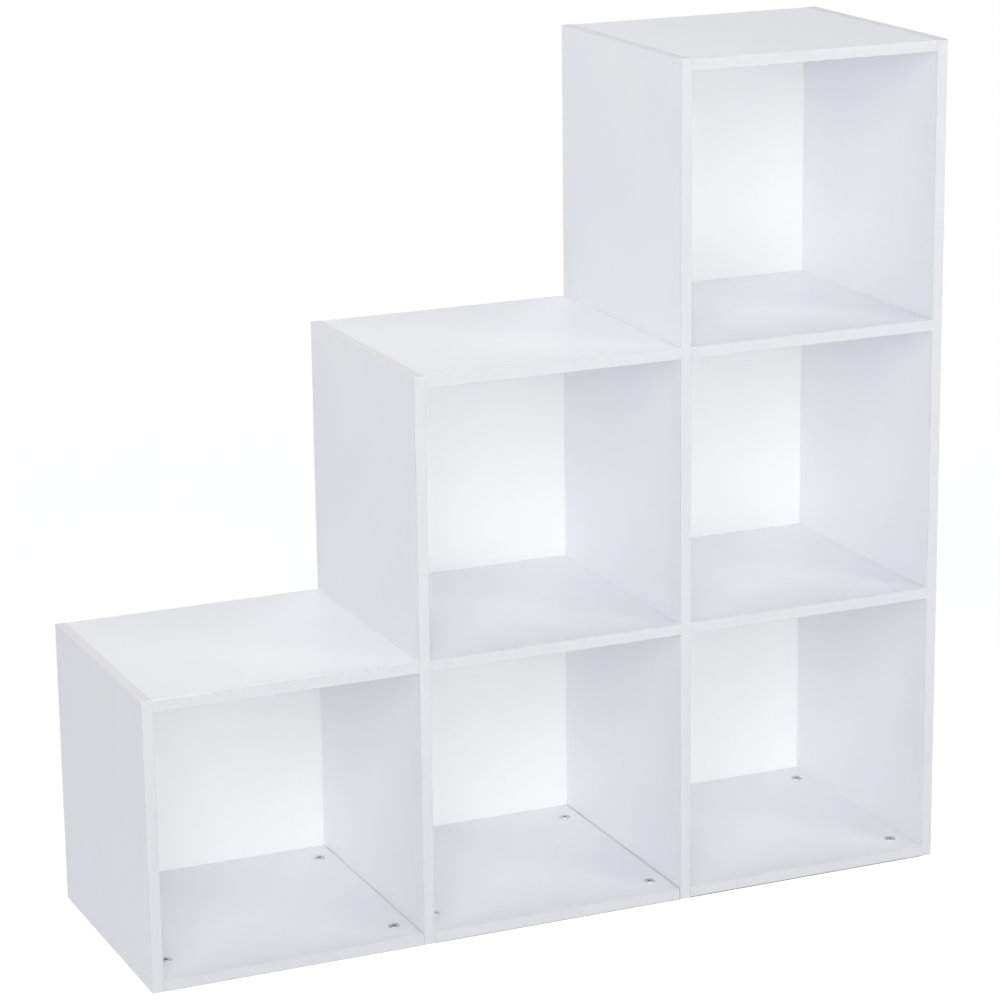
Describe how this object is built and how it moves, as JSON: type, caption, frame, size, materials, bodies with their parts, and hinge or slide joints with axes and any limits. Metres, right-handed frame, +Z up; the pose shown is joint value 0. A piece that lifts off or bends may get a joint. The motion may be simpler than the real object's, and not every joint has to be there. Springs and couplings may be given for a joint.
{
  "type": "staircase bookshelf",
  "caption": "Open staircase bookshelf: square cells in stepped columns, with shared uprights, butted boards held by cam locks, and thin backs nailed on behind.",
  "frame": {"origin": "on the floor, at the middle of the footprint of the whole shelf", "axes": "+X to the right along the row, towards the tallest column; +Y to the rear; +Z up. The open front faces -Y."},
  "size_m": [0.91, 0.293, 0.91],
  "materials": {
    "melamine_board": "white melamine on particle board, satin",
    "back_panel": "white faced hardboard, matte",
    "cam_zinc": "die-cast zinc, bright",
    "bolt_steel": "zinc-plated steel, satin"
  },
  "bodies": {
    "root": {"upright_left": "melamine_board", "upright_inner_left": "melamine_board", "upright_inner_right": "melamine_board", "upright_right": "melamine_board", "bottom_board_left": "melamine_board", "top_board_left": "melamine_board", "bottom_board_middle": "melamine_board", "shelf_middle": "melamine_board", "top_board_middle": "melamine_board", "bottom_board_right": "melamine_board", "lower_shelf_right": "melamine_board", "upper_shelf_right": "melamine_board", "top_board_right": "melamine_board", "back_panel_left": "back_panel", "back_panel_middle": "back_panel", "back_panel_right": "back_panel", "cam_bottom_board_left_front_left": "cam_zinc", "cam_bottom_board_left_rear_left": "cam_zinc", "cam_bottom_board_left_front_right": "cam_zinc", "cam_bottom_board_left_rear_right": "cam_zinc", "cam_top_board_left_front_left": "cam_zinc", "cam_top_board_left_rear_left": "cam_zinc", "cam_top_board_left_front_right": "cam_zinc", "cam_top_board_left_rear_right": "cam_zinc", "cam_bottom_board_middle_front_left": "cam_zinc", "cam_bottom_board_middle_rear_left": "cam_zinc", "cam_bottom_board_middle_front_right": "cam_zinc", "cam_bottom_board_middle_rear_right": "cam_zinc", "cam_shelf_middle_front_left": "cam_zinc", "cam_shelf_middle_rear_left": "cam_zinc", "cam_shelf_middle_front_right": "cam_zinc", "cam_shelf_middle_rear_right": "cam_zinc", "cam_top_board_middle_front_left": "cam_zinc", "cam_top_board_middle_rear_left": "cam_zinc", "cam_top_board_middle_front_right": "cam_zinc", "cam_top_board_middle_rear_right": "cam_zinc", "cam_bottom_board_right_front_left": "cam_zinc", "cam_bottom_board_right_rear_left": "cam_zinc", "cam_bottom_board_right_front_right": "cam_zinc", "cam_bottom_board_right_rear_right": "cam_zinc", "cam_lower_shelf_right_front_left": "cam_zinc", "cam_lower_shelf_right_rear_left": "cam_zinc", "cam_lower_shelf_right_front_right": "cam_zinc", "cam_lower_shelf_right_rear_right": "cam_zinc", "cam_upper_shelf_right_front_left": "cam_zinc", "cam_upper_shelf_right_rear_left": "cam_zinc", "cam_upper_shelf_right_front_right": "cam_zinc", "cam_upper_shelf_right_rear_right": "cam_zinc", "cam_top_board_right_front_left": "cam_zinc", "cam_top_board_right_rear_left": "cam_zinc", "cam_top_board_right_front_right": "cam_zinc", "cam_top_board_right_rear_right": "cam_zinc", "bolt_bottom_board_right_front_right": "bolt_steel", "bolt_bottom_board_right_rear_right": "bolt_steel", "bolt_lower_shelf_right_front_right": "bolt_steel", "bolt_lower_shelf_right_rear_right": "bolt_steel", "bolt_upper_shelf_right_front_right": "bolt_steel", "bolt_upper_shelf_right_rear_right": "bolt_steel", "bolt_top_board_right_front_right": "bolt_steel", "bolt_top_board_right_rear_right": "bolt_steel"}
  },
  "joints": []
}
